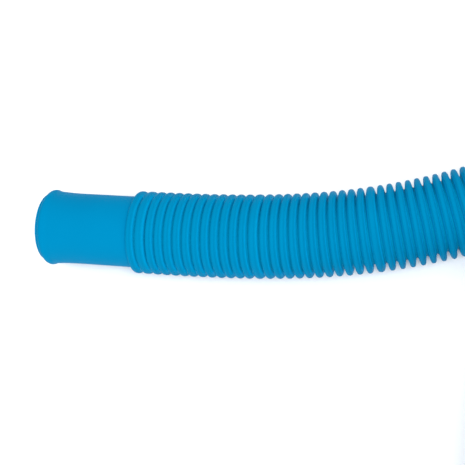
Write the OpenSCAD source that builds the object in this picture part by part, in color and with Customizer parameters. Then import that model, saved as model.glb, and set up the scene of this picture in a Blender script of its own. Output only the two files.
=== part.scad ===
// Pool vacuum hose: corrugated hose with a plain push-on cuff at one end and a
// swivel cuff at the other, most of it wound into a tied coil.
// Origin: centre of the plain cuff's mouth. +X runs along the cuff into the hose,
// +Z is up. The hose lies on a floor at z = -hose_od / 2.

/* [Hose] */
// Outside diameter over the corrugations
hose_od = 48.6; // [46:0.1:50]
// Outside diameter of the hose's plain neck, inside each cuff
neck_od = 38.4; // [37.6:0.1:38.6]
// Inside diameter of the hose
hose_id = 36; // [34:0.5:37]

/* [Cuffs] */
// Length of the plain cuff that shows in front of the first corrugation
cuff_len = 58; // [50:1:70]
// Outside diameter of both cuffs along their plain stretch
cuff_od = 42; // [41:0.1:43]
// Outside diameter of the bead around a cuff's mouth
bead_od = 45.1; // [44:0.1:46]
// Distance from the mouth to the crest of the bead
bead_at = 4.6; // [4:0.1:7]
// Distance from the mouth to the end of the bead's slope
bead_end = 15; // [15:0.5:20]
// Outside diameter of the flat face at the mouth
mouth_od = 40.4; // [40:0.1:41]
// Inside diameter of the socket that a 38 mm pipe or tool pushes into
socket_id = 38.4; // [38.2:0.1:38.6]
// Depth of the socket, from the mouth to its stop
socket_depth = 28; // [24:1:32]

/* [Swivel] */
// Outside diameter of the hub that the swivel cuff turns on
journal_od = 42.8; // [42.4:0.1:43]
// Length of the hub, from the hose to its front end
hub_len = 44; // [42:1:48]
// Outside diameter of the turning collar and of the hub's flange
collar_od = 48; // [47.5:0.1:48]
// Gap all round between the hub and the turning collar
running_gap = 0.08; // [0.05:0.01:0.1]
// Number of finger grooves around the collar
grip_count = 24; // [16:1:28]

/* [Coil] */
// Diameter of the coil at the middle of its turns
coil_d = 486; // [480:1:492]
// Centre of the coil along X
coil_x = 565; // [560:1:570]
// Centre of the coil along Y
coil_y = -134; // [-138:1:-130]
// Clockwise angle from +Y where the hose ends on top of the coil
hose_end_angle = 35; // [30:1:40]

/* [Straps] */
// Width of the webbing
strap_w = 25; // [20:1:30]
// Thickness of the webbing
strap_t = 1.5; // [1.4:0.1:1.8]
// Length of the buckle across the webbing
buckle_w = 33; // [32:1:36]
// Length of the buckle along the webbing
buckle_l = 27; // [25:1:30]
// Thickness of the buckle
buckle_t = 3.6; // [3:0.1:4]

/* [Hidden] */
$fn = 96;

hose_blue = [0.02, 0.50, 0.75];
soft_blue = [0.03, 0.55, 0.80];
dark_grey = [0.12, 0.13, 0.14];
strap_navy = [0.07, 0.12, 0.25];

hose_r = hose_od / 2;
neck_r = neck_od / 2;
flow_r = hose_id / 2;
socket_r = socket_id / 2;
stop_len = 2;

// Layout of the swivel along its own axis, from the end of the corrugations.
flange_len = 4;
washer_len = 1.5;
collar_from = 5.8;
collar_step = 34;
web_from = 46;
collar_len = 50;
spigot_len = 20;
neck_len = 26;
journal_r = journal_od / 2;
collar_r = collar_od / 2;
keeper_r = 23;
seal_at = 21.5;
seal_r = 0.6;

// Clearance between the straps and the coil, and how high the coil lies on them.
strap_gap = 0.5;
coil_lift = strap_t + strap_gap;
coil_mid_r = coil_d / 2;
outer_turn_r = coil_mid_r + hose_r;
coil_out_r = coil_mid_r + hose_od;
coil_in_r = coil_mid_r - hose_od;
low_z = coil_lift;
top_z = coil_lift + hose_od;
// Corner cut that makes a square around a turn an octagon
corner = hose_r * (2 - sqrt(2));
// Where the top outer turn starts, clockwise from +Y
top_turn_from = 120;
strap_angles = [15, 153, 252];

// Route of the free hose from the plain cuff to the coil, in X, Y and Z.
// The hose runs along the smooth curve that these points steer.
lead_route = [
  [22, 0, 0], [58, 0, 0], [94, 0, 0], [130, 1.3, 0], [166, 4.3, 0], [202, 10.5, 0],
  [238, 20.6, 0], [274, 34.6, 0], [310, 50, 0.5], [346, 66, 1], [382, 82, 1.5],
  [418, 97, 2], [454, 111.5, 2], [490, 124, 2], [526, 131.5, 2], [562, 134, 2],
  [598, 132, 2]];
lead_sides = 12;

// Point i of the smooth curve that a list of points steers
function eased(p, i) = (p[i - 1] + 4 * p[i] + p[i + 1]) / 6;
function unit(v) = v / norm(v);
// Direction of that curve at point i
function heading(p, i) = unit(p[i + 1] - p[i - 1]);
// One ring of a tube of radius r around point c, square to direction t
function ring(c, t, r, sides) =
  let (side = unit(cross([0, 0, 1], t)), up = cross(t, side))
  [for (k = [0:sides - 1]) c + r * (cos(360 * k / sides) * side + sin(360 * k / sides) * up)];

// Closed tube with one ring at each inner point of a route.
module tube(p, r, sides) {
  rings = len(p) - 2;
  points = [for (i = [1:rings]) each ring(eased(p, i), heading(p, i), r, sides)];
  start = [[for (k = [0:sides - 1]) k]];
  finish = [[for (k = [sides - 1:-1:0]) (rings - 1) * sides + k]];
  walls = [for (i = [0:rings - 2]) for (k = [0:sides - 1])
    [i * sides + k, (i + 1) * sides + k, (i + 1) * sides + (k + 1) % sides, i * sides + (k + 1) % sides]];
  polyhedron(points = points, faces = concat(start, walls, finish));
}

// Outside radius of a cuff's mouth at distance x behind it: a round nose up to
// the bead's crest, then a long smooth slope back to the plain stretch.
function nose(x) = mouth_od / 2 + (bead_od - mouth_od) / 2 * sqrt(1 - pow(1 - x / bead_at, 2));
function slope(x) = cuff_od / 2
  + (bead_od - cuff_od) / 2 * pow(cos(90 * (x - bead_at) / (bead_end - bead_at)), 2);
bead_outline = concat(
  [for (k = [0:8]) [nose(bead_at * (1 - cos(90 * k / 8))), bead_at * (1 - cos(90 * k / 8))]],
  [for (k = [1:8]) let (x = bead_at + (bead_end - bead_at) * k / 8) [slope(x), x]]);

// Turns a shape drawn along Z so that it runs along +X.
module along_x() {
  rotate([0, 90, 0]) children();
}

// Tube from z = from to z = to.
module sleeve(outer, inner, from, to) {
  translate([0, 0, from]) difference() {
    cylinder(r = outer, h = to - from);
    translate([0, 0, -1]) cylinder(r = inner, h = to - from + 2);
  }
}

// Push-on cuff along +Z from its mouth: bead, socket, stop, and a pocket behind
// the stop for the neck that it is bonded to.
module cuff(length, rear_r) {
  difference() {
    rotate_extrude() polygon(concat([[0, 0]], bead_outline,
      [[cuff_od / 2, length - 12], [rear_r, length - 8], [rear_r, length], [0, length]]));
    translate([0, 0, -1]) cylinder(r = socket_r, h = socket_depth + 1);
    cylinder(r = flow_r, h = length);
    translate([0, 0, socket_depth + stop_len]) cylinder(r = neck_r, h = length);
  }
}

module near_cuff() {
  color(soft_blue) along_x() cuff(cuff_len, cuff_od / 2);
}

module near_neck() {
  color(hose_blue) along_x() sleeve(neck_r, flow_r, socket_depth + stop_len, cuff_len);
}

module hose_lead() {
  color(hose_blue) tube(lead_route, hose_r, lead_sides);
}

// Cross-section of one turn's space, square with cut corners, centred at [r, z].
module turn_section(r, z, wide, high) {
  w = wide / 2;
  h = high / 2;
  translate([r, z]) polygon([
    [-w, -h + corner], [-w + corner, -h], [w - corner, -h], [w, -h + corner],
    [w, h - corner], [w - corner, h], [-w + corner, h], [-w, h - corner]]);
}

// Outer shape of the coil: two turns side by side, one on the inner turn,
// and one on the outer turn that stops where the swivel cuff lies.
module hose_coil() {
  color(hose_blue) translate([coil_x, coil_y, 0]) {
    rotate_extrude() union() {
      turn_section(coil_mid_r, low_z, 2 * hose_od, hose_od);
      turn_section(coil_mid_r - hose_r, (low_z + top_z) / 2, hose_od, 2 * hose_od);
    }
    rotate([0, 0, 90 - hose_end_angle])
      rotate_extrude(angle = 360 - top_turn_from + hose_end_angle)
        turn_section(coil_mid_r + hose_r - 1, top_z - 1, hose_od + 1, hose_od + 1);
  }
}

// Puts a shape drawn along +Z on the end of the hose, pointing away from it.
module at_hose_end() {
  translate([coil_x, coil_y, top_z]) rotate([0, 0, -hose_end_angle])
    translate([0, outer_turn_r, 0]) along_x() children();
}

module end_neck() {
  color(hose_blue) at_hose_end() sleeve(neck_r, flow_r, 0, neck_len);
}

// Hub bonded over the hose's neck: flange, journal, and grooves for the seal
// and for the snap ring that keeps the collar on.
module swivel_hub() {
  color(dark_grey) at_hose_end() difference() {
    union() {
      sleeve(collar_r, neck_r, 0, flange_len);
      sleeve(journal_r, neck_r, flange_len, neck_len);
      sleeve(journal_r, flow_r, neck_len, hub_len);
    }
    sleeve(collar_r, journal_r - 2 * seal_r - 0.04, seal_at - 1.4 * seal_r, seal_at + 1.4 * seal_r);
    sleeve(collar_r, journal_r - 1.4, collar_step + 0.2, collar_step + 2.6);
  }
}

module swivel_washer() {
  color("white") at_hose_end()
    sleeve(collar_r - 0.4, journal_r + 0.1, flange_len, flange_len + washer_len);
}

module swivel_seal() {
  color("black") at_hose_end() translate([0, 0, seal_at])
    rotate_extrude() translate([journal_r - seal_r, 0]) circle(r = seal_r, $fn = 32);
}

// Split snap ring in the hub's front groove.
module swivel_retainer() {
  color("gainsboro") at_hose_end() difference() {
    sleeve(keeper_r - 0.4, journal_r - 1.3, collar_step + 0.3, collar_step + 2.5);
    translate([0, -2, collar_step]) cube([keeper_r + 1, 4, 3]);
  }
}

// Turning collar: runs on the journal between the washer and the snap ring.
module swivel_collar() {
  color(dark_grey) at_hose_end() difference() {
    union() {
      sleeve(collar_r, journal_r + running_gap, collar_from, collar_step);
      sleeve(collar_r, keeper_r, collar_step, web_from);
      sleeve(collar_r, flow_r, web_from, collar_len);
      sleeve(neck_r, flow_r, collar_len, collar_len + spigot_len);
    }
    for (k = [0:grip_count - 1])
      rotate([0, 0, 360 * k / grip_count]) translate([collar_r + 0.9, 0, collar_from + 4])
        cylinder(r = 1.8, h = collar_step - collar_from - 4, $fn = 32);
  }
}

// Soft cuff bonded over the collar's spigot, with its mouth pointing away.
module swivel_socket() {
  length = spigot_len + stop_len + socket_depth;
  color(soft_blue) at_hose_end() translate([0, 0, collar_len + length])
    mirror([0, 0, 1]) cuff(length, collar_r - 0.6);
}

// Outline of the whole bundle, grown by a margin all round.
module bundle_section(margin) {
  turn_section(0, (low_z + top_z) / 2, 2 * (hose_od + margin), 2 * (hose_od + margin));
}

// Draws in the plane across the coil's turns: X outwards, Y up.
module across_coil(angle) {
  translate([coil_x, coil_y, 0]) rotate([0, 0, 90 - angle])
    translate([coil_mid_r, 0, 0]) rotate([90, 0, 0]) children();
}

module tie_strap(angle) {
  color(strap_navy) across_coil(angle) linear_extrude(height = strap_w, center = true)
    difference() {
      bundle_section(strap_gap + strap_t);
      bundle_section(strap_gap);
    }
}

// Plastic slide with two slots and a middle bar, flat on top of its strap.
module tie_buckle(angle) {
  slot_l = (buckle_l - 9) / 2;
  color(dark_grey) across_coil(angle)
    translate([hose_r, top_z + hose_r + strap_gap + strap_t, 0]) rotate([-90, 0, 0])
      difference() {
        translate([-buckle_l / 2, -buckle_w / 2, 0]) cube([buckle_l, buckle_w, buckle_t]);
        for (side = [-1, 1])
          translate([side * (slot_l + 3) / 2 - slot_l / 2, -strap_w / 2 - 0.8, -1])
            cube([slot_l, strap_w + 1.6, buckle_t + 2]);
      }
}

near_cuff();
near_neck();
hose_lead();
hose_coil();
end_neck();
swivel_hub();
swivel_washer();
swivel_seal();
swivel_retainer();
swivel_collar();
swivel_socket();
tie_strap(strap_angles[0]);  // tie_strap_1
tie_strap(strap_angles[1]);  // tie_strap_2
tie_strap(strap_angles[2]);  // tie_strap_3
tie_buckle(strap_angles[0]);  // tie_buckle_1
tie_buckle(strap_angles[1]);  // tie_buckle_2
tie_buckle(strap_angles[2]);  // tie_buckle_3
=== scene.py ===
"""Pool vacuum hose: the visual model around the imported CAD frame.

Blender objects are in metres, in the CAD's own frame: the origin is the centre of the plain cuff's
mouth, +X points into the hose and +Z up. Sizes and outlines below are in mm, and become metres
where a mesh is made.
"""

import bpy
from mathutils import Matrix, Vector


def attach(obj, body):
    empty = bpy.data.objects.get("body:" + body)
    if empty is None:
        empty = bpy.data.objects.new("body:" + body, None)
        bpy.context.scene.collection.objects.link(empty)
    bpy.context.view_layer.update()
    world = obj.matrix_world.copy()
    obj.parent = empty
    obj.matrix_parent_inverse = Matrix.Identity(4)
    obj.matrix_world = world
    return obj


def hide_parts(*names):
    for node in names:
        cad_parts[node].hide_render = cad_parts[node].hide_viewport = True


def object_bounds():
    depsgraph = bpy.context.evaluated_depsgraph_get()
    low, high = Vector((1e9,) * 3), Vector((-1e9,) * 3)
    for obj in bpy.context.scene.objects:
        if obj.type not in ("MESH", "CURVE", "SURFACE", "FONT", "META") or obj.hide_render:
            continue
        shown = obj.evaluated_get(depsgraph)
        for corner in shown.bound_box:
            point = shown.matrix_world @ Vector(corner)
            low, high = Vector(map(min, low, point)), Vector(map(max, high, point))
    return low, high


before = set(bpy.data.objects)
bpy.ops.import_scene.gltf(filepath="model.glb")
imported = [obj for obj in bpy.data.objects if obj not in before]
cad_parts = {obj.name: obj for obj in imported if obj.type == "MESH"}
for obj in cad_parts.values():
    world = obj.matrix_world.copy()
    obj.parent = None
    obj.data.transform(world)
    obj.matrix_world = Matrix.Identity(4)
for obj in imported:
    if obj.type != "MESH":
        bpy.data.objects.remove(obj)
cad_box = [list(corner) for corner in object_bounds()]

import math  # noqa: E402

import bmesh  # noqa: E402
import bpy  # noqa: E402
import numpy as np  # noqa: E402
from mathutils import Matrix, Vector  # noqa: E402

MM = 0.001
FLOOR_Z = cad_box[0][2]

# ---------------------------------------------------------------- sizes, from part.scad, in mm

HOSE_R = 24.3  # over the corrugations
NECK_R = 19.2  # plain neck inside each cuff
FLOW_R = 18.0  # water way

CUFF_LEN = 58.0
CUFF_R = 21.0
BEAD_R = 22.55
BEAD_AT = 4.6  # from the mouth to the bead's crest
BEAD_END = 15.0  # from the mouth to the end of the bead's slope
SOCKET_R = 19.2
SOCKET_DEPTH = 28.0
STOP_LEN = 2.0  # ring between the socket and the neck's pocket

# Along the swivel, from the end of the corrugations
END_NECK = 26.0  # end of the hose's plain neck
FLANGE_LEN = 4.0  # end of the hub's flange
COLLAR_FROM = 5.8  # front of the turning collar
SEAL_AT = 21.5  # middle of the O-ring's groove
COLLAR_STEP = 34.0  # where the collar's bore widens for the snap ring
HUB_LEN = 44.0
WEB_FROM = 46.0  # front of the collar's web
COLLAR_LEN = 50.0
SPIGOT_LEN = 20.0  # beyond the collar
JOURNAL_R = 21.4
RUNNING_R = 21.48  # the collar's bore round the journal
KEEPER_R = 23.0  # the collar's bore round the snap ring
COLLAR_R = 24.0
GRIP_COUNT = 24  # finger grooves round the collar

COIL_CENTRE = (565.0, -134.0)
COIL_MID_R = 243.0  # between the outer and the inner turns
OUTER_R = COIL_MID_R + HOSE_R  # middle of the outer turns
LOW_Z = 2.0  # middle of the low turns, which lie on the straps
TOP_Z = LOW_Z + 2 * HOSE_R
FIRST_ANGLE = 5.0  # where the free hose joins the coil, in degrees clockwise from +Y
END_ANGLE = 35.0  # where the last turn ends, after three whole turns
LAST_ANGLE = 3 * 360 + END_ANGLE
STEP_IN = (255.0, 345.0)  # from the outer low turn to the inner low one
STEP_UP = (515.0, 610.0)  # from the inner low turn to the inner high one
STEP_OUT = (790.0, 875.0)  # from the inner high turn to the outer high one

STRAP_ANGLES = (15.0, 153.0, 252.0)
STRAP_W = 25.0
STRAP_T = 1.5
STRAP_GAP = 0.5  # between the webbing and the hose
BUCKLE_W = 33.0
BUCKLE_L = 27.0
BUCKLE_T = 3.6

# The free hose's route, as in part.scad: points that steer a smooth curve.
LEAD_ROUTE = [
    (22, 0, 0), (58, 0, 0), (94, 0, 0), (130, 1.3, 0), (166, 4.3, 0), (202, 10.5, 0),
    (238, 20.6, 0), (274, 34.6, 0), (310, 50, 0.5), (346, 66, 1), (382, 82, 1.5),
    (418, 97, 2), (454, 111.5, 2), (490, 124, 2), (526, 131.5, 2),
]

# ---------------------------------------------------------------- camera, before everything else

CAMERA_TARGET = Vector((0.11514, 0.00319, 0.00009))
CAMERA_DISTANCE = 0.6651
CAMERA_ELEVATION = math.radians(63.673)
CAMERA_HEADING = math.radians(37.033)
CAMERA_ROLL = math.radians(-30.693)
CAMERA_LENS = 88.89


def make_camera():
    """The camera at the photograph's viewing angle, from its heading, elevation and roll."""
    flat = math.cos(CAMERA_ELEVATION)
    forward = Vector(
        (
            -math.sin(CAMERA_HEADING) * flat,
            math.cos(CAMERA_HEADING) * flat,
            -math.sin(CAMERA_ELEVATION),
        )
    )
    level = forward.cross(Vector((0, 0, 1))).normalized()
    upright = level.cross(forward)
    right = level * math.cos(CAMERA_ROLL) + upright * math.sin(CAMERA_ROLL)
    up = right.cross(forward)
    data = bpy.data.cameras.new("camera")
    data.lens = CAMERA_LENS
    data.sensor_width = 36
    data.clip_start = 0.01
    camera = bpy.data.objects.new("camera", data)
    turn = Matrix((right, up, -forward)).transposed()
    camera.matrix_world = (
        Matrix.Translation(CAMERA_TARGET - forward * CAMERA_DISTANCE) @ turn.to_4x4()
    )
    bpy.context.scene.collection.objects.link(camera)
    bpy.context.scene.camera = camera


# ---------------------------------------------------------------- mesh building


def new_piece(name, verts, faces, material, uvs=None):
    """A smooth mesh object from vertices in mm and faces, with its normals outwards."""
    mesh = bpy.data.meshes.new(name)
    mesh.from_pydata([tuple(v) for v in np.asarray(verts, float) * MM], [], faces)
    if uvs is not None:
        layer = mesh.uv_layers.new(name="cloth")
        layer.data.foreach_set("uv", np.asarray(uvs, np.float32).ravel())
    shaped = bmesh.new()
    shaped.from_mesh(mesh)
    bmesh.ops.recalc_face_normals(shaped, faces=shaped.faces)
    shaped.to_mesh(mesh)
    shaped.free()
    mesh.materials.append(material)
    mesh.polygons.foreach_set("use_smooth", [True] * len(mesh.polygons))
    piece = bpy.data.objects.new(name, mesh)
    bpy.context.scene.collection.objects.link(piece)
    return piece


def crease(piece, degrees):
    """Keeps edges sharper than this angle crisp, and shades the rest smooth."""
    mesh = piece.data
    shaped = bmesh.new()
    shaped.from_mesh(mesh)
    limit = math.radians(degrees)
    for edge in shaped.edges:
        edge.smooth = len(edge.link_faces) != 2 or edge.calc_face_angle() < limit
    shaped.to_mesh(mesh)
    shaped.free()


def lathe(name, outline, place, material, segments=128, dent=None):
    """Turns a closed outline of (distance, radius, dent share) in mm about an axis.

    place is the 4x4 matrix that takes the axis from +Z to where it is, in mm.
    dent(angle) is how far the radius is pushed in where the dent share is 1.
    """
    turn = np.arange(segments) * 2 * math.pi / segments
    pushed = np.array([dent(a) for a in turn]) if dent else np.zeros(segments)
    rows = []
    for point in outline:
        share = point[2] if len(point) > 2 else 0.0
        r = point[1] - share * pushed
        rows.append(np.stack([r * np.cos(turn), r * np.sin(turn), np.full(segments, point[0])], 1))
    verts = np.concatenate(rows)
    verts = np.c_[verts, np.ones(len(verts))] @ np.array(place).T
    count = len(outline)
    faces = [
        (
            i * segments + k,
            i * segments + (k + 1) % segments,
            (i + 1) % count * segments + (k + 1) % segments,
            (i + 1) % count * segments + k,
        )
        for i in range(count)
        for k in range(segments)
    ]
    return new_piece(name, verts[:, :3], faces, material)


def rounded(points, steps=4):
    """A closed outline of (distance, radius, fillet) corners with each corner rounded, in mm."""
    out = []
    count = len(points)
    for i, (x, r, fillet) in enumerate(points):
        corner = np.array((x, r), float)
        before = np.array(points[i - 1][:2], float) - corner
        after = np.array(points[(i + 1) % count][:2], float) - corner
        if fillet <= 0:
            out.append((x, r))
            continue
        start = before / np.linalg.norm(before) * fillet
        end = after / np.linalg.norm(after) * fillet
        for k in range(steps + 1):
            t = k / steps
            out.append(tuple(corner + start * (1 - t) ** 2 + end * t**2))
    return out


# ---------------------------------------------------------------- hose path


def ease(low, high, x):
    """0 before low, 1 after high, and a smooth half wave between."""
    t = min(1.0, max(0.0, (x - low) / (high - low)))
    return 0.5 - 0.5 * math.cos(math.pi * t)


def coil_point(angle, reach):
    """A point of the coil at an angle in degrees clockwise from +Y, counted on turn by turn.

    reach enlarges the radius, for a point that only steers the curve.
    """
    step = 2 * HOSE_R
    r = OUTER_R - step * ease(*STEP_IN, angle) + step * ease(*STEP_OUT, angle)
    z = LOW_Z + step * ease(*STEP_UP, angle)
    a = math.radians(angle)
    return (
        COIL_CENTRE[0] + r * reach * math.sin(a),
        COIL_CENTRE[1] + r * reach * math.cos(a),
        z,
    )


def hose_line():
    """Centreline of the corrugated hose in mm: a uniform cubic B-spline through its route."""
    step = 15.0
    reach = 1 / (1 - (1 - math.cos(math.radians(step))) / 3)  # the curve cuts its corners
    count = int((LAST_ANGLE - FIRST_ANGLE) / step) + 2
    turns = [coil_point(FIRST_ANGLE + step * i, reach) for i in range(count)]
    steer = np.array(LEAD_ROUTE + turns, float)
    samples = 60
    t = np.arange(samples)[:, None] / samples
    weights = (
        (1 - t) ** 3 / 6,
        (3 * t**3 - 6 * t**2 + 4) / 6,
        (-3 * t**3 + 3 * t**2 + 3 * t + 1) / 6,
        t**3 / 6,
    )
    pieces = [
        sum(w * steer[i + k] for k, w in enumerate(weights)) for i in range(len(steer) - 3)
    ]
    end = (steer[-3] + 4 * steer[-2] + steer[-1]) / 6
    return np.concatenate(pieces + [end[None]])


class Path:
    """A centreline by distance from the plain cuff's mouth, in mm, straight beyond both ends."""

    def __init__(self, line, start):
        steps = np.linalg.norm(np.diff(line, axis=0), axis=1)
        self.line = line
        self.at = start + np.concatenate([[0], np.cumsum(steps)])
        slope = np.gradient(line, self.at, axis=0)
        slope[0], slope[-1] = line[1] - line[0], line[-1] - line[-2]
        self.slope = slope / np.linalg.norm(slope, axis=1)[:, None]
        self.start, self.end = float(self.at[0]), float(self.at[-1])

    def __call__(self, s):
        """Centre, side, up and heading at distance s."""
        inside = min(max(s, self.start), self.end)
        centre = np.array([np.interp(inside, self.at, self.line[:, k]) for k in range(3)])
        ahead = np.array([np.interp(inside, self.at, self.slope[:, k]) for k in range(3)])
        ahead /= np.linalg.norm(ahead)
        side = np.cross(ahead, (0, 0, 1))
        side /= np.linalg.norm(side)
        return centre + ahead * (s - inside), side, np.cross(side, ahead), ahead


# ---------------------------------------------------------------- corrugations

FIRST_CREST = 59.744  # from the mouth
PITCH = 5.455
BLOCK_RINGS = 12  # the mould's blocks meet at every twelfth ring, which is wider
BLOCK_FIRST = 2  # the first wide ring
BLOCK_EXTRA = 0.966
CREST_HALF = 1.82  # half a crest's width at half its height
GROOVE_R = 19.4
WALL = 1.2
INNER_NARROWER = 0.5  # how much less half a crest's width is on the inside of the wall
NEAR_INSIDE, FAR_INSIDE = 26, 5  # crests whose inside is modelled, at each end
ROUNDING = 0.3  # at the rims of the two necks
FINE_SIDES = 72
COARSE_SIDES = 24
FINE_UNTIL = 300.0  # from here on, out of the camera's view, rings have fewer sides and steps
# The paleness of the grooves is painted light: paler colour where the grooves' shade would fall.
FADED_FROM = 600.0  # from here on, the painted light in the grooves has lost this share of its strength
FADED_SHARE = 0.6
PALE_FROM_R = HOSE_R - 0.6  # the painted light in a groove, which lifts the shade there, begins at this radius

# (share of the half width, radius) across one crest, from one groove to the next
FINE_CREST = [
    (-1.26, 19.75), (-1.1, 20.7), (-1.0, 21.85), (-0.87, 23.0), (-0.64, 23.88), (-0.32, 24.23),
    (0.0, 24.3), (0.32, 24.23), (0.64, 23.88), (0.87, 23.0), (1.0, 21.85), (1.1, 20.7),
    (1.26, 19.75),
]
COARSE_CREST = [(-1.02, 21.6), (-0.45, 24.2), (0.45, 24.2), (1.02, 21.6)]


def crest_places(end):
    """(distance, half width) of each crest from the first one to the hose's end, in mm."""
    crests = []
    s = FIRST_CREST
    number = 1
    while s < end - PITCH / 2 + 1:
        wide = number % BLOCK_RINGS == BLOCK_FIRST
        s += BLOCK_EXTRA / 2 * wide
        crests.append((s, CREST_HALF + BLOCK_EXTRA / 2 * wide))
        s += PITCH + BLOCK_EXTRA / 2 * wide
        number += 1
    first, last = crests[0][0], crests[-1][0]
    stretch = (end - PITCH / 2 - first) / (last - first)
    return [(first + (s - first) * stretch, half) for s, half in crests]


def inner_crest(place, half, sides):
    """The rings of one crest on the inside of the wall, from its far side to its near side."""
    return [
        (place, share * (half - INNER_NARROWER), r - WALL, sides)
        for share, r in reversed(COARSE_CREST)
    ]


def hose_sections(path):
    """Every ring of the hose's mesh: (place, offset along the heading, radius, sides).

    They run from inside the near end, out over its neck, along the outside of the whole hose, and
    over the far neck to the inside again.
    """
    crests = crest_places(path.end)
    grooves = [(a[0] + b[0]) / 2 for a, b in zip(crests, crests[1:])]
    rows = []
    for i in reversed(range(NEAR_INSIDE)):
        rows.append((grooves[i], 0, GROOVE_R - WALL, FINE_SIDES))
        rows += inner_crest(*crests[i], FINE_SIDES)
    rim = SOCKET_DEPTH + STOP_LEN
    near_neck = [
        (CUFF_LEN, FLOW_R), (rim + ROUNDING, FLOW_R), (rim, FLOW_R + ROUNDING),
        (rim, NECK_R - ROUNDING), (rim + ROUNDING, NECK_R), (CUFF_LEN - 2 * ROUNDING, NECK_R),
        (CUFF_LEN, NECK_R + ROUNDING),
    ]
    rows += [(place, 0, r, FINE_SIDES) for place, r in near_neck]
    for i, (place, half) in enumerate(crests):
        fine = place < FINE_UNTIL
        sides = FINE_SIDES if fine else COARSE_SIDES
        for share, r in FINE_CREST if fine else COARSE_CREST:
            rows.append((place, share * half, r, sides))
        if i < len(grooves):
            rows.append((grooves[i], 0, GROOVE_R, sides))
    rim = path.end + END_NECK
    far_neck = [
        (path.end, NECK_R), (rim - ROUNDING, NECK_R), (rim, NECK_R - ROUNDING),
        (rim, FLOW_R + ROUNDING), (rim - ROUNDING, FLOW_R), (path.end, FLOW_R),
    ]
    rows += [(place, 0, r, COARSE_SIDES) for place, r in far_neck]
    for i in range(1, FAR_INSIDE + 1):
        rows += inner_crest(*crests[-i], COARSE_SIDES)
        rows.append((grooves[-i], 0, GROOVE_R - WALL, COARSE_SIDES))
    return rows


def groove_depth(place, r):
    """0 on a crest and 1 at the bottom of a groove, and less where the coarse rings are: how
    much painted light lifts the shade at this point of a groove.

    A coarse ring shows more of its grooves, so with the full painted light the coil would look
    paler than the free hose.
    """
    depth = min(1.0, max(0.0, (PALE_FROM_R - r) / (PALE_FROM_R - GROOVE_R)))
    return depth * (1 - FADED_SHARE * ease(FINE_UNTIL, FADED_FROM, place))


def join_rings(a, m, b, n):
    """Faces between a ring of m vertices from number a and one of n, equal or fewer, from b."""
    if m == n:
        return [(a + k, b + k, b + (k + 1) % m, a + (k + 1) % m) for k in range(m)]
    faces = []
    ratio = m // n
    for k in range(n):
        for h in range(ratio):
            here, after = ratio * k + h, (ratio * k + h + 1) % m
            faces.append((a + here, b + (k + (h > ratio // 2)) % n, a + after))
        middle = ratio * k + ratio // 2 + 1
        faces.append((a + middle % m, b + k, b + (k + 1) % n))
    return faces


def build_hose(path, material):
    """The whole corrugated hose as one closed skin, with its bore open at both ends."""
    rows = hose_sections(path)
    verts, faces, starts, depths = [], [], [], []
    for place, along, r, sides in rows:
        centre, side, up, ahead = path(place)
        turn = np.arange(sides)[:, None] * 2 * math.pi / sides
        starts.append(len(verts))
        verts.extend(centre + ahead * along + r * (np.cos(turn) * side + np.sin(turn) * up))
        depths += [groove_depth(place, r)] * sides
    for i in range(len(rows) - 1):
        faces += join_rings(starts[i], rows[i][3], starts[i + 1], rows[i + 1][3])
    for start, (place, _, _, sides) in ((starts[0], rows[0]), (starts[-1], rows[-1])):
        verts.append(path(place)[0])
        depths.append(0.0)
        for k in range(sides):
            faces.append((start + k, start + (k + 1) % sides, len(verts) - 1))
    hose = new_piece("hose", verts, faces, material)
    # groove steers the painted light in the grooves, which lifts their shade
    groove = hose.data.attributes.new("groove", "FLOAT", "POINT")
    groove.data.foreach_set("value", np.array(depths, np.float32))
    return hose


def neck_to_neck(path):
    """The hose's centreline in metres, from the end of one plain neck to the end of the other."""
    first = path(SOCKET_DEPTH + STOP_LEN)[0]
    last = path(path.end + END_NECK)[0]
    return [tuple(p * MM) for p in [first, *path.line, last]]


# ---------------------------------------------------------------- materials


def node(tree, kind, **sockets):
    """A shader node with its sockets set; a value that is a socket is linked."""
    made = tree.nodes.new(kind)
    for key, value in sockets.items():
        socket = made.inputs[key.replace("_", " ")]
        if isinstance(value, bpy.types.NodeSocket):
            tree.links.new(value, socket)
        else:
            socket.default_value = value
    return made


def srgb(r, g, b):
    """A linear colour from 0 to 255 values as a screen shows them."""
    return tuple(
        (c / 12.92 if c <= 0.04045 else ((c + 0.055) / 1.055) ** 2.4)
        for c in (r / 255, g / 255, b / 255)
    ) + (1.0,)


def ramp(tree, factor, low, high, low_value, high_value):
    """Maps factor from low..high to low_value..high_value."""
    made = node(tree, "ShaderNodeMapRange", Value=factor)
    made.inputs["From Min"].default_value = low
    made.inputs["From Max"].default_value = high
    made.inputs["To Min"].default_value = low_value
    made.inputs["To Max"].default_value = high_value
    return made.outputs["Result"]


def blend_colours(tree, factor, first, second):
    """Mixes two colours by factor."""
    made = tree.nodes.new("ShaderNodeMix")
    made.data_type = "RGBA"
    factor_in, first_in, second_in = made.inputs[0], made.inputs[6], made.inputs[7]
    for socket, value in ((factor_in, factor), (first_in, first), (second_in, second)):
        if isinstance(value, bpy.types.NodeSocket):
            tree.links.new(value, socket)
        else:
            socket.default_value = value
    return made.outputs[2]


def noise(tree, coordinate, scale, detail=3.0, roughness=0.55):
    """Soft three-dimensional noise from 0 to 1."""
    made = node(tree, "ShaderNodeTexNoise", Vector=coordinate, Scale=scale, Detail=detail)
    made.inputs["Roughness"].default_value = roughness
    return made.outputs["Fac"]


def calculate(tree, operation, *values):
    """The result of a Math node on sockets or numbers."""
    made = tree.nodes.new("ShaderNodeMath")
    made.operation = operation
    for socket, value in zip(made.inputs, values):
        if isinstance(value, bpy.types.NodeSocket):
            tree.links.new(value, socket)
        else:
            socket.default_value = value
    return made.outputs[0]


def new_material(name):
    """A material with one shader, and its tree, shader and object coordinates."""
    made = bpy.data.materials.new(name)
    made.use_nodes = True
    tree = made.node_tree
    shader = tree.nodes["Principled BSDF"]
    where = tree.nodes.new("ShaderNodeTexCoord").outputs["Object"]
    return made, tree, shader, where


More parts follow.
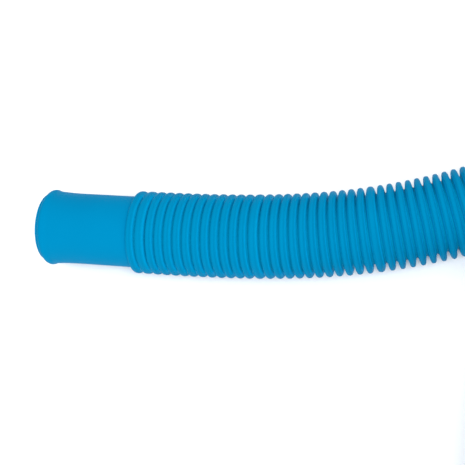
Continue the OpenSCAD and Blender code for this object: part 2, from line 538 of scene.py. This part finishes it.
def moulded(name, light, dark, gloss=(0.36, 0.46), specular=0.25, tint=None, groove_light=None):
    """Moulded plastic: cloudy colour, fine scuffs, and a satin skin with a faint grain.

    The last argument holds the painted light of a groove's flanks and of its bottom: paler
    colours that lift the shade in the grooves.
    """
    made, tree, shader, where = new_material(name)
    cloud = noise(tree, where, 22.0, 4.0)
    speck = noise(tree, where, 420.0, 2.0)
    colour = blend_colours(tree, ramp(tree, cloud, 0.3, 0.7, 0.0, 1.0), dark, light)
    wear_and_groove_light = blend_colours(tree, ramp(tree, speck, 0.62, 0.8, 0.0, 0.35), colour, light)
    # painted light: paler flanks and bottoms of the grooves, mixed over the scuffs, lift their
    # shade
    if groove_light:
        groove = tree.nodes.new("ShaderNodeAttribute")
        groove.attribute_name = "groove"
        flank_light_mask = ramp(tree, groove.outputs["Fac"], 0.0, 0.4, 0.0, 1.0)
        bottom_light_mask = ramp(tree, groove.outputs["Fac"], 0.55, 1.0, 0.0, 1.0)
        wear_and_groove_light = blend_colours(tree, flank_light_mask, wear_and_groove_light, groove_light[0])
        wear_and_groove_light = blend_colours(tree, bottom_light_mask, wear_and_groove_light, groove_light[1])
    tree.links.new(wear_and_groove_light, shader.inputs["Base Color"])
    scuff = noise(tree, where, 90.0, 5.0, 0.7)
    tree.links.new(ramp(tree, scuff, 0.3, 0.7, *gloss), shader.inputs["Roughness"])
    skin = noise(tree, where, 900.0, 3.0)
    wave = noise(tree, where, 60.0, 2.0)
    height = calculate(tree, "ADD", skin, wave)
    bump = node(tree, "ShaderNodeBump", Strength=0.35, Distance=0.00006, Height=height)
    tree.links.new(bump.outputs["Normal"], shader.inputs["Normal"])
    shader.inputs["Specular IOR Level"].default_value = specular
    if tint:
        shader.inputs["Specular Tint"].default_value = tint
    return made


def woven(name, light, dark):
    """Woven webbing: yarn ribs along and across it, a little uneven, and matt."""
    made, tree, shader, where = new_material(name)
    cloth = tree.nodes.new("ShaderNodeUVMap")
    cloth.uv_map = "cloth"
    split = node(tree, "ShaderNodeSeparateXYZ", Vector=cloth.outputs["UV"])
    waves = []
    for axis, pitch in (("X", 0.0016), ("Y", 0.0022)):
        turns = calculate(tree, "MULTIPLY", split.outputs[axis], 2 * math.pi / pitch)
        waves.append(calculate(tree, "SINE", turns))
    yarn = ramp(tree, calculate(tree, "MULTIPLY", *waves), -0.8, 0.8, 0.0, 1.0)
    cloud = noise(tree, where, 60.0, 3.0)
    base = blend_colours(tree, yarn, dark, light)
    faded = blend_colours(tree, ramp(tree, cloud, 0.35, 0.75, 0.0, 0.3), base, light)
    tree.links.new(faded, shader.inputs["Base Color"])
    tree.links.new(ramp(tree, cloud, 0.3, 0.7, 0.7, 0.86), shader.inputs["Roughness"])
    bump = node(tree, "ShaderNodeBump", Strength=0.6, Distance=0.0002, Height=yarn)
    tree.links.new(bump.outputs["Normal"], shader.inputs["Normal"])
    shader.inputs["Sheen Weight"].default_value = 0.1
    shader.inputs["Sheen Roughness"].default_value = 0.5
    return made


def steel(name):
    """Bright spring steel with fine scratches."""
    made, tree, shader, where = new_material(name)
    scratch = noise(tree, where, 700.0, 4.0)
    bright, dull = (0.62, 0.62, 0.6, 1), (0.4, 0.41, 0.42, 1)
    tree.links.new(
        blend_colours(tree, ramp(tree, scratch, 0.35, 0.7, 0.0, 1.0), bright, dull),
        shader.inputs["Base Color"],
    )
    tree.links.new(ramp(tree, scratch, 0.3, 0.7, 0.22, 0.4), shader.inputs["Roughness"])
    bump = node(tree, "ShaderNodeBump", Strength=0.2, Distance=0.00003, Height=scratch)
    tree.links.new(bump.outputs["Normal"], shader.inputs["Normal"])
    shader.inputs["Metallic"].default_value = 1.0
    return made


BLUE_TINT = (0.02, 0.62, 1.0, 1.0)  # of the plastic's faint gloss
# The hose's last two colours are painted light: paler flanks and bottoms that lift the shade in
# its grooves.
HOSE_BLUE = moulded(
    "hose_wall", srgb(0, 118, 161), srgb(0, 114, 157), (0.36, 0.46), 0.01, BLUE_TINT,
    (srgb(0, 172, 217), srgb(0, 132, 168)),
)
CUFF_BLUE = moulded("cuff", srgb(0, 119, 164), srgb(0, 116, 161), (0.4, 0.5), 0.01, BLUE_TINT)
HUB_GREY = moulded("hub", srgb(48, 51, 54), srgb(34, 37, 40), (0.38, 0.52), 0.25)
WASHER_WHITE = moulded("washer", srgb(205, 205, 198), srgb(188, 188, 180), (0.3, 0.4), 0.3)
SEAL_BLACK = moulded("seal", srgb(28, 28, 28), srgb(18, 18, 18), (0.45, 0.6), 0.3)
SPRING_STEEL = steel("spring_steel")
WEBBING_NAVY = woven("webbing", srgb(34, 48, 88), srgb(12, 20, 44))
BUCKLE_GREY = moulded("buckle", srgb(42, 45, 49), srgb(30, 33, 37), (0.4, 0.55), 0.25)

# ---------------------------------------------------------------- cuffs and swivel


def place_along(point, ahead):
    """Matrix in mm that puts a shape drawn along +Z at point, pointing ahead."""
    z = Vector(ahead).normalized()
    x = z.cross(Vector((0, 0, 1))).normalized()
    y = z.cross(x)
    turn = Matrix((x, y, z)).transposed().to_4x4()
    return Matrix.Translation(Vector(point)) @ turn


# (distance, radius) over a cuff's mouth: lip, bead and slope
CUFF_FRONT = [
    (0.0, 19.5), (0.07, 19.66), (0.22, 19.76), (0.5, 19.8), (1.25, 19.8), (1.38, 19.82),
    (1.46, 20.1), (1.75, 20.58), (2.1, 21.05), (2.5, 21.55), (2.9, 21.96), (3.4, 22.3),
    (4.0, 22.5), (BEAD_AT, BEAD_R), (5.2, 22.46), (5.7, 22.28), (6.2, 22.05), (7.0, 21.82),
    (8.0, 21.67), (9.5, 21.54), (12.0, 21.37), (BEAD_END, 21.18), (20.0, 21.05),
    (27.0, CUFF_R),
]


def cuff_outline(length, rear_r):
    """Closed outline of a push-on cuff, from its mouth, as (distance, radius)."""
    step_up = [(length - 12, CUFF_R), (length - 8, rear_r)] if rear_r > CUFF_R else []
    outside = CUFF_FRONT + step_up + [
        (length - 1.0, rear_r), (length - 0.45, rear_r - 0.08), (length - 0.12, rear_r - 0.35),
        (length, rear_r - 0.75),
    ]
    pocket = SOCKET_DEPTH + STOP_LEN
    inside = [
        (length, NECK_R + 0.15), (length - 0.15, NECK_R + 0.02), (pocket + 0.1, NECK_R + 0.02),
        (pocket, NECK_R - 0.1), (pocket, FLOW_R + 0.3), (pocket - 0.3, FLOW_R),
        (SOCKET_DEPTH + 0.3, FLOW_R), (SOCKET_DEPTH, FLOW_R + 0.3), (SOCKET_DEPTH, SOCKET_R - 0.5),
        (SOCKET_DEPTH - 0.5, SOCKET_R), (14.0, SOCKET_R), (0.7, SOCKET_R), (0.3, SOCKET_R + 0.06),
        (0.06, SOCKET_R + 0.16),
    ]
    return outside + inside


def finger_dent(angle):
    """How far a finger groove pushes the collar's outside in at this angle, in mm."""
    pitch = 2 * math.pi / GRIP_COUNT
    away = abs((angle + pitch / 2) % pitch - pitch / 2)
    cutter_r, cutter_out = 1.8, COLLAR_R + 0.9
    across = cutter_out * math.sin(away)
    if across >= cutter_r:
        return 0.0
    floor = cutter_out * math.cos(away) - math.sqrt(cutter_r**2 - across**2)
    return max(0.0, COLLAR_R - floor)


def collar_outline():
    """Closed outline of the turning collar; the third number is a finger groove's share."""
    front, back = COLLAR_FROM + 4, COLLAR_STEP
    outside = [
        (COLLAR_FROM, 21.9), (COLLAR_FROM, 23.5), (COLLAR_FROM + 0.15, 23.85),
        (COLLAR_FROM + 0.5, COLLAR_R), (front - 0.3, COLLAR_R), (front, COLLAR_R, 0.35),
        (front + 0.5, COLLAR_R, 0.8), (front + 1.3, COLLAR_R, 1.0), (back - 1.3, COLLAR_R, 1.0),
        (back - 0.5, COLLAR_R, 0.8), (back, COLLAR_R, 0.35), (back + 0.3, COLLAR_R),
        (COLLAR_LEN - 0.8, COLLAR_R), (COLLAR_LEN - 0.25, 23.85), (COLLAR_LEN, 23.4),
        (COLLAR_LEN, NECK_R + 0.2), (COLLAR_LEN + 0.2, NECK_R),
        (COLLAR_LEN + SPIGOT_LEN - 0.3, NECK_R), (COLLAR_LEN + SPIGOT_LEN, NECK_R - 0.3),
    ]
    inside = [
        (COLLAR_LEN + SPIGOT_LEN, FLOW_R + 0.3), (COLLAR_LEN + SPIGOT_LEN - 0.3, FLOW_R),
        (WEB_FROM + 0.3, FLOW_R), (WEB_FROM, FLOW_R + 0.3), (WEB_FROM, KEEPER_R - 0.3),
        (WEB_FROM - 0.3, KEEPER_R), (COLLAR_STEP + 0.05, KEEPER_R), (COLLAR_STEP, KEEPER_R - 0.1),
        (COLLAR_STEP, RUNNING_R + 0.2), (COLLAR_STEP - 0.2, RUNNING_R),
        (COLLAR_FROM + 0.3, RUNNING_R), (COLLAR_FROM, RUNNING_R + 0.25),
    ]
    return outside + inside


def hub_outline():
    """Closed outline of the hub: flange, journal, seal groove and snap-ring groove."""
    seal_low, seal_high, seal_floor = SEAL_AT - 0.84, SEAL_AT + 0.84, JOURNAL_R - 1.24
    ring_low, ring_high, ring_floor = COLLAR_STEP + 0.2, COLLAR_STEP + 2.6, JOURNAL_R - 1.4
    return rounded(
        [
            (0, NECK_R, 0.2), (0, COLLAR_R, 0.8), (FLANGE_LEN, COLLAR_R, 0.6),
            (FLANGE_LEN, JOURNAL_R, 0.1), (seal_low, JOURNAL_R, 0.1), (seal_low, seal_floor, 0.1),
            (seal_high, seal_floor, 0.1), (seal_high, JOURNAL_R, 0.1), (ring_low, JOURNAL_R, 0.1),
            (ring_low, ring_floor, 0.1), (ring_high, ring_floor, 0.1), (ring_high, JOURNAL_R, 0.1),
            (HUB_LEN, JOURNAL_R, 0.5), (HUB_LEN, FLOW_R, 0.4), (END_NECK, FLOW_R, 0.2),
            (END_NECK, NECK_R, 0.1),
        ],
        3,
    )


def build_ends(path):
    """Both cuffs, the hub and the collar, and the materials of the swivel's inner parts."""
    near = place_along((0, 0, 0), (1, 0, 0))
    cuff = lathe("cuff", cuff_outline(CUFF_LEN, CUFF_R), near, CUFF_BLUE)
    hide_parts("near_cuff")
    end = path(path.end)[0]
    turn = math.radians(END_ANGLE)
    ahead = np.array((math.cos(turn), -math.sin(turn), 0.0))  # square to the coil's radius there
    forward = place_along(end, ahead)
    length = SPIGOT_LEN + STOP_LEN + SOCKET_DEPTH
    mouth = end + ahead * (COLLAR_LEN + length)
    socket = lathe(
        "swivel_cuff",
        cuff_outline(length, COLLAR_R - 0.6),
        place_along(mouth, -ahead),
        CUFF_BLUE,
    )
    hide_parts("swivel_socket")
    collar = lathe(
        "collar", collar_outline(), forward, HUB_GREY, 12 * GRIP_COUNT, finger_dent
    )
    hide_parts("swivel_collar")
    hub = lathe("hub", hub_outline(), forward, HUB_GREY, 96)
    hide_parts("swivel_hub")
    for piece, degrees in ((cuff, 50), (socket, 50), (collar, 32), (hub, 40)):
        crease(piece, degrees)
    for piece, body, slot in (
        (cuff, "hose", "cuff"),
        (socket, "swivel", "cuff"),
        (collar, "swivel", "hub"),
        (hub, "hose", "hub"),
    ):
        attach(piece, body)
    for name, material in (
        ("swivel_washer", WASHER_WHITE),
        ("swivel_seal", SEAL_BLACK),
        ("swivel_retainer", SPRING_STEEL),
    ):
        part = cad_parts[name]
        part.data.materials.clear()
        part.data.materials.append(material)
    return [hub, collar, socket]


# ---------------------------------------------------------------- straps and buckles


def hull(points):
    """Convex outline of points in a plane, anticlockwise."""
    ordered = sorted(map(tuple, points))

    def half(row):
        kept = []
        for p in row:
            while len(kept) > 1 and (
                (kept[-1][0] - kept[-2][0]) * (p[1] - kept[-2][1])
                - (kept[-1][1] - kept[-2][1]) * (p[0] - kept[-2][0])
            ) <= 0:
                kept.pop()
            kept.append(p)
        return kept[:-1]

    return np.array(half(ordered) + half(ordered[::-1]))


def even(points, step, closed):
    """The same line with its points a fixed step apart, or nearly."""
    if closed:
        points = np.concatenate([points, points[:1]])
    at = np.concatenate([[0], np.cumsum(np.linalg.norm(np.diff(points, axis=0), axis=1))])
    count = max(2, round(at[-1] / step))
    wanted = np.linspace(0, at[-1], count + (not closed), endpoint=not closed)
    return np.stack([np.interp(wanted, at, points[:, k]) for k in range(2)], 1), at[-1] / count


def web_section():
    """Cross-section of the webbing in mm: ribs along it, and rounded selvages."""
    selvage, rib_height, rib_pitch = 0.7, 0.07, 2.36
    across = np.linspace(-STRAP_W / 2 + selvage, STRAP_W / 2 - selvage, 41)
    ribs = rib_height * np.cos(across * 2 * math.pi / rib_pitch)
    upper = np.stack([across, STRAP_T / 2 - rib_height + ribs], 1)
    edge = [(STRAP_W / 2 - 0.2, 0.45), (STRAP_W / 2, 0.0), (STRAP_W / 2 - 0.2, -0.45)]
    lower = np.stack([across[::-1], -upper[::-1, 1]], 1)
    return np.concatenate([upper, edge, lower, [(-a, -b) for a, b in edge]])


def webbing(name, line, step, closed, place):
    """Webbing along a line drawn in the plane across the coil, with its yarn in a UV map."""
    section = web_section()
    count, size = len(line), len(section)
    ahead = np.roll(line, -1, 0) - np.roll(line, 1, 0)
    if not closed:
        ahead[0], ahead[-1] = line[1] - line[0], line[-1] - line[-2]
    ahead /= np.linalg.norm(ahead, axis=1)[:, None]
    out = np.stack([ahead[:, 1], -ahead[:, 0]], 1)
    row = np.arange(count)
    wobble = 0.25 * np.sin(row * 0.37) + 0.15 * np.sin(row * 0.91)  # it doesn't lie quite straight
    if closed:
        wobble *= np.sin(np.linspace(0, math.pi, count))
    verts = []
    for i in range(count):
        flat = line[i] + section[:, 1:] * out[i]
        verts.append(np.c_[flat, section[:, :1] + wobble[i]])
    verts = np.concatenate(verts)
    verts = np.c_[verts, np.ones(len(verts))] @ np.array(place).T
    faces, uvs = [], []
    around = np.concatenate(
        [[0], np.cumsum(np.linalg.norm(np.diff(section, axis=0, append=section[:1]), axis=1))]
    )
    for i in range(count if closed else count - 1):
        for k in range(size):
            j, h = (i + 1) % count, (k + 1) % size
            faces.append((i * size + k, i * size + h, j * size + h, j * size + k))
            low, high = around[k] * MM, around[k + 1] * MM
            here, after = i * step * MM, (i + 1) * step * MM
            uvs += [(here, low), (here, high), (after, high), (after, low)]
    if not closed:
        for i, order in ((0, range(size)), (count - 1, range(size - 1, -1, -1))):
            faces.append(tuple(i * size + k for k in order))
            uvs += [(i * step * MM, around[k] * MM) for k in order]
    return new_piece(name, verts[:, :3], faces, WEBBING_NAVY, uvs)


def across_coil(angle):
    """Matrix in mm from (out, up, along the turns) to the row frame at an angle of the coil."""
    a = math.radians(angle)
    out = Vector((math.sin(a), math.cos(a), 0))
    along = Vector((math.cos(a), -math.sin(a), 0))
    turn = Matrix((out, Vector((0, 0, 1)), along)).transposed().to_4x4()
    return Matrix.Translation((*COIL_CENTRE, 0)) @ turn


def turns_at(angle):
    """(radius, height) of each turn of the hose that passes an angle of the coil."""
    places = []
    at = angle
    while at <= LAST_ANGLE:
        if at >= FIRST_ANGLE:
            x, y, z = coil_point(at, 1)
            places.append((math.hypot(x - COIL_CENTRE[0], y - COIL_CENTRE[1]), z))
        at += 360
    return places


def build_buckle(name, place):
    """Three-bar slide: a rounded frame with two slots and a middle bar, from a 2D curve."""
    bevel = 0.7
    bar = 3.0
    slot_l, slot_w = (BUCKLE_L - 3 * bar) / 2, STRAP_W + 1.6

    def loop(x, wide, high, radius):
        """A rectangle with round corners, its middle at x."""
        points = []
        for k in range(4):
            cx = x + (wide / 2 - radius) * (1, -1, -1, 1)[k]
            cy = (high / 2 - radius) * (1, 1, -1, -1)[k]
            for i in range(7):
                a = math.pi / 2 * (k + i / 6)
                points.append((cx + radius * math.cos(a), cy + radius * math.sin(a)))
        return points

    curve = bpy.data.curves.new(name, "CURVE")
    curve.dimensions = "2D"
    curve.fill_mode = "BOTH"
    curve.extrude = (BUCKLE_T / 2 - bevel) * MM
    curve.bevel_depth = bevel * MM
    curve.bevel_resolution = 3
    curve.offset = -bevel * MM
    loops = [loop(0, BUCKLE_L, BUCKLE_W, 3.0)]
    for side in (-1, 1):
        loops.append(loop(side * (slot_l + bar) / 2, slot_l, slot_w, 1.2))
    for points in loops:
        spline = curve.splines.new("POLY")
        spline.points.add(len(points) - 1)
        for target, (x, y) in zip(spline.points, points):
            target.co = (x * MM, y * MM, 0, 1)
        spline.use_cyclic_u = True
    holder = bpy.data.objects.new(name + ".curve", curve)
    bpy.context.scene.collection.objects.link(holder)
    graph = bpy.context.evaluated_depsgraph_get()
    mesh = bpy.data.meshes.new_from_object(holder.evaluated_get(graph))
    bpy.data.objects.remove(holder)
    shaped = bmesh.new()
    shaped.from_mesh(mesh)
    bmesh.ops.remove_doubles(shaped, verts=shaped.verts, dist=1e-6)
    bmesh.ops.recalc_face_normals(shaped, faces=shaped.faces)
    shaped.to_mesh(mesh)
    shaped.free()
    lift = Matrix.Translation((OUTER_R, TOP_Z + HOSE_R + STRAP_GAP + STRAP_T + BUCKLE_T / 2, 0))
    flat = Matrix(((1, 0, 0, 0), (0, 0, 1, 0), (0, 1, 0, 0), (0, 0, 0, 1)))  # width to along
    full = np.array(place @ lift @ flat)
    full[:3, 3] *= MM
    mesh.transform(Matrix(full.tolist()))
    mesh.name = name
    mesh.materials.clear()
    mesh.materials.append(BUCKLE_GREY)
    mesh.polygons.foreach_set("use_smooth", [True] * len(mesh.polygons))
    piece = bpy.data.objects.new(name, mesh)
    bpy.context.scene.collection.objects.link(piece)
    crease(piece, 35)
    return piece


def build_tie(number, angle):
    """One strap round the bundle, its tail through the slide, and the slide."""
    place = across_coil(angle)
    spread = HOSE_R + STRAP_GAP + STRAP_T / 2
    turn = np.linspace(0, 2 * math.pi, 120, endpoint=False)
    rim = np.stack([np.cos(turn), np.sin(turn)], 1) * spread
    circles = [np.array(c) + rim for c in turns_at(angle)]
    band_step, tail_step = 1.6, 1.0
    line, step = even(hull(np.concatenate(circles)), band_step, True)
    band = webbing(f"strap_{number}", line, step, True, place)
    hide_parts(f"tie_strap_{number}")

    # the tail rises through the slide, lies over it, and follows the hose down on the outside
    top = TOP_Z + HOSE_R + STRAP_GAP + STRAP_T
    over = BUCKLE_T + STRAP_T / 2 + 0.1
    low = STRAP_T / 2 + 0.1
    tail = [(-9.6, low), (-8.4, low), (-6.6, low + 0.5), (-4.6, 2.2), (-3.4, 3.6), (-2.2, over)]
    tail += [(0, over), (4, over - 0.15), (8, over - 0.1), (11, over), (13.6, over - 0.1)]
    tail = [(x + OUTER_R, y + top) for x, y in tail]
    outer = HOSE_R + STRAP_GAP + STRAP_T * 1.5 + 0.2
    leaves, ends, sinks = 38, 75, 0.25  # degrees round the hose, and mm closer to it each degree
    for degrees in range(leaves, ends, 4):
        a = math.radians(degrees)
        grown = outer + max(0.0, 3.1 - (degrees - leaves) * sinks)
        tail.append((OUTER_R + grown * math.sin(a), TOP_Z + grown * math.cos(a)))
    tail_line, tail_step = even(np.array(tail), tail_step, False)
    for _ in range(3):
        tail_line[1:-1] = (tail_line[:-2] + 2 * tail_line[1:-1] + tail_line[2:]) / 4
    strip = webbing(f"strap_tail_{number}", tail_line, tail_step, False, place)

    slide = build_buckle(f"slide_{number}", place)
    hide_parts(f"tie_buckle_{number}")
    for piece, slot in ((band, "webbing"), (strip, "webbing"), (slide, "buckle")):
        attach(piece, "hose")


# ---------------------------------------------------------------- studio

FLOOR_HALF = 6.0
SKY_STRENGTH = 1.05
SOFTBOX_SIZE = 0.9
SOFTBOX_WATTS = 24.0
SOFTBOX_AIM = Vector((0.3, -0.05, 0.0))
SOFTBOX_AWAY = 1.7


def build_studio():
    """Plain pale floor, plain soft light from the camera's side and all round."""
    mesh = bpy.data.meshes.new("floor")
    corners = [(x * FLOOR_HALF, y * FLOOR_HALF) for x, y in ((-1, -1), (1, -1), (1, 1), (-1, 1))]
    mesh.from_pydata([(x, y, FLOOR_Z) for x, y in corners], [], [(0, 1, 2, 3)])
    floor = bpy.data.objects.new("floor", mesh)
    bpy.context.scene.collection.objects.link(floor)
    made, tree, shader, where = new_material("floor")
    pale = blend_colours(
        tree, noise(tree, where, 3.0), (0.93, 0.93, 0.93, 1), (0.95, 0.95, 0.95, 1)
    )
    tree.links.new(pale, shader.inputs["Base Color"])
    shader.inputs["Roughness"].default_value = 0.9
    shader.inputs["Specular IOR Level"].default_value = 0.1
    mesh.materials.append(made)

    world = bpy.data.worlds.new("studio")
    bpy.context.scene.world = world
    world.use_nodes = True
    sky = world.node_tree.nodes["Background"]
    sky.inputs["Color"].default_value = (1.0, 1.0, 1.0, 1.0)
    sky.inputs["Strength"].default_value = SKY_STRENGTH

    lamp = bpy.data.lights.new("softbox", "AREA")
    lamp.shape = "DISK"
    lamp.size = SOFTBOX_SIZE
    lamp.energy = SOFTBOX_WATTS
    box = bpy.data.objects.new("softbox", lamp)
    towards_camera = (bpy.context.scene.camera.location - CAMERA_TARGET).normalized()
    box.location = SOFTBOX_AIM + towards_camera * SOFTBOX_AWAY
    box.rotation_euler = (-towards_camera).to_track_quat("-Z", "Y").to_euler()
    bpy.context.scene.collection.objects.link(box)
    bpy.context.scene.view_settings.view_transform = "Standard"


# ---------------------------------------------------------------- the model

make_camera()

hose_path = Path(hose_line(), CUFF_LEN)
hose = build_hose(hose_path, HOSE_BLUE)
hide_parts("hose_lead", "hose_coil", "near_neck", "end_neck")
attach(hose, "hose")
swivel_pieces = build_ends(hose_path)
neck_to_neck(hose_path)
for number, strap_angle in enumerate(STRAP_ANGLES, 1):
    build_tie(number, strap_angle)
build_studio()
